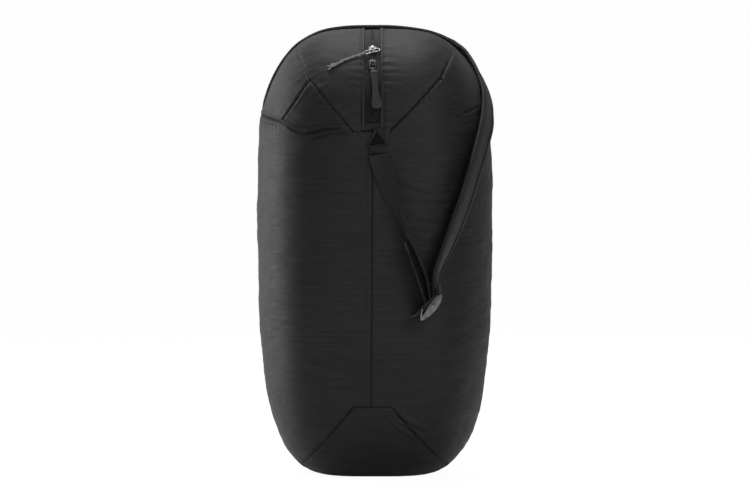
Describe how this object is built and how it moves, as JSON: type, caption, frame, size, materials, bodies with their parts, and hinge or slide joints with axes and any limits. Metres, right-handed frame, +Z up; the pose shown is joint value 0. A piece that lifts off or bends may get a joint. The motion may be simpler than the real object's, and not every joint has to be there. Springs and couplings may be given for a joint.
{
  "type": "compression sack",
  "caption": "Filled upright fabric sack with a domed top closed by a two-slider zip, and a padded shoulder strap shortened by a ladder lock.",
  "frame": {"origin": "on the floor, below the middle of the filled sack's base", "axes": "+Z up, the sack's front with the strap anchor faces -Y, +X is its right side seen from the front; the zip runs front to back"},
  "size_m": [0.2843, 0.2816, 0.5366],
  "materials": {
    "shell_fabric": "matte slubbed nylon, black",
    "gusset_fabric": "matte slubbed nylon, black",
    "base_fabric": "matte slubbed nylon, black",
    "seam_tape": "woven binding tape",
    "zip_tape": "knitted zip tape",
    "zip_coil": "nylon coil",
    "zip_metal": "bright plated zinc",
    "zip_black": "black lacquered zinc",
    "cord": "light grey braided cord",
    "grip_rubber": "soft matt rubber",
    "strap_fabric": "padded woven strap face",
    "strap_binding": "grosgrain binding",
    "webbing": "ribbed nylon webbing",
    "lock_plastic": "moulded acetal"
  },
  "bodies": {
    "sack": {"top_left_panel": "shell_fabric", "top_right_panel": "shell_fabric", "left_body_panel": "shell_fabric", "right_body_panel": "shell_fabric", "left_shoulder_gusset": "gusset_fabric", "right_shoulder_gusset": "gusset_fabric", "base_panel": "base_fabric", "front_centre_seam_tape": "seam_tape", "back_centre_seam_tape": "seam_tape", "zip_tape_left": "zip_tape", "zip_tape_right": "zip_tape", "zip_coil_left": "zip_coil", "zip_coil_right": "zip_coil", "zip_end_stops": "zip_metal", "front_zip_end_tab": "webbing", "back_zip_end_tab": "webbing", "front_anchor_band": "webbing", "front_anchor_loop": "webbing", "back_anchor_tab": "webbing", "strap_back_run_pad": "strap_fabric", "strap_back_run_binding_outer": "strap_binding", "strap_back_run_binding_inner": "strap_binding", "strap_shoulder_pad": "strap_fabric", "strap_shoulder_binding_outer": "strap_binding", "strap_shoulder_binding_inner": "strap_binding"},
    "strap_crown": {"strap_crown_pad": "strap_fabric", "strap_crown_binding_outer": "strap_binding", "strap_crown_binding_inner": "strap_binding"},
    "strap_front": {"strap_front_pad": "strap_fabric", "strap_front_binding_outer": "strap_binding", "strap_front_binding_inner": "strap_binding", "lock_loop_webbing": "webbing", "adjuster_webbing": "webbing"},
    "ladder_lock": {"ladder_lock_frame": "lock_plastic", "webbing_turn": "webbing"},
    "tail": {"webbing_tail": "webbing", "webbing_tail_fold": "webbing"},
    "upper_slider": {"upper_slider_body": "zip_metal", "upper_slider_crown": "zip_metal"},
    "upper_pull": {"upper_pull_link": "zip_metal", "cord_loop": "cord"},
    "pull_cord": {"cord_pull": "cord", "cord_knot": "cord"},
    "lower_slider": {"lower_slider_body": "zip_black", "lower_slider_crown": "zip_black"},
    "lower_pull": {"lower_pull_link": "zip_black", "lower_pull_grip": "grip_rubber"}
  },
  "joints": [
    {"name": "upper_slider_travel", "type": "hinge", "parent": "sack", "child": "upper_slider", "pos_m": [0, 0, 0.415], "axis": [-1, 0, 0], "range_deg": [0, 112]},
    {"name": "lower_slider_travel", "type": "hinge", "parent": "sack", "child": "lower_slider", "pos_m": [0, 0, 0.415], "axis": [1, 0, 0], "range_deg": [0, 12]},
    {"name": "upper_pull_flip", "type": "hinge", "parent": "upper_slider", "child": "upper_pull", "pos_m": [-0.003, -0.07006, 0.51341], "axis": [-0.9442, -0.3194, -0.0804], "range_deg": [0, 80]},
    {"name": "cord_swing", "type": "hinge", "parent": "upper_pull", "child": "pull_cord", "pos_m": [-0.01392, -0.076, 0.511], "axis": [0.1139, -0.5457, 0.8302], "range_deg": [0, 35]},
    {"name": "lower_pull_flip", "type": "hinge", "parent": "lower_slider", "child": "lower_pull", "pos_m": [-0.003, -0.08899, 0.49669], "axis": [-1, 0, 0], "range_deg": [0, 95]},
    {"name": "strap_crown_lift", "type": "slide", "parent": "sack", "child": "strap_crown", "axis": [0, 0, 1], "range_m": [0, 0.06]},
    {"name": "strap_front_swing", "type": "hinge", "parent": "sack", "child": "strap_front", "pos_m": [0.004, -0.127, 0.397], "axis": [-0.778, -0.5173, -0.3565], "range_deg": [0, 75]},
    {"name": "ladder_lock_tilt", "type": "hinge", "parent": "strap_front", "child": "ladder_lock", "pos_m": [0.07507, -0.136, 0.22158], "axis": [-0.1177, -0.9848, 0.1276], "range_deg": [0, 35]},
    {"name": "webbing_tail_swing", "type": "hinge", "parent": "ladder_lock", "child": "tail", "pos_m": [0.05939, -0.13431, 0.22019], "axis": [-0.1177, -0.9848, 0.1276], "range_deg": [0, 45]}
  ]
}
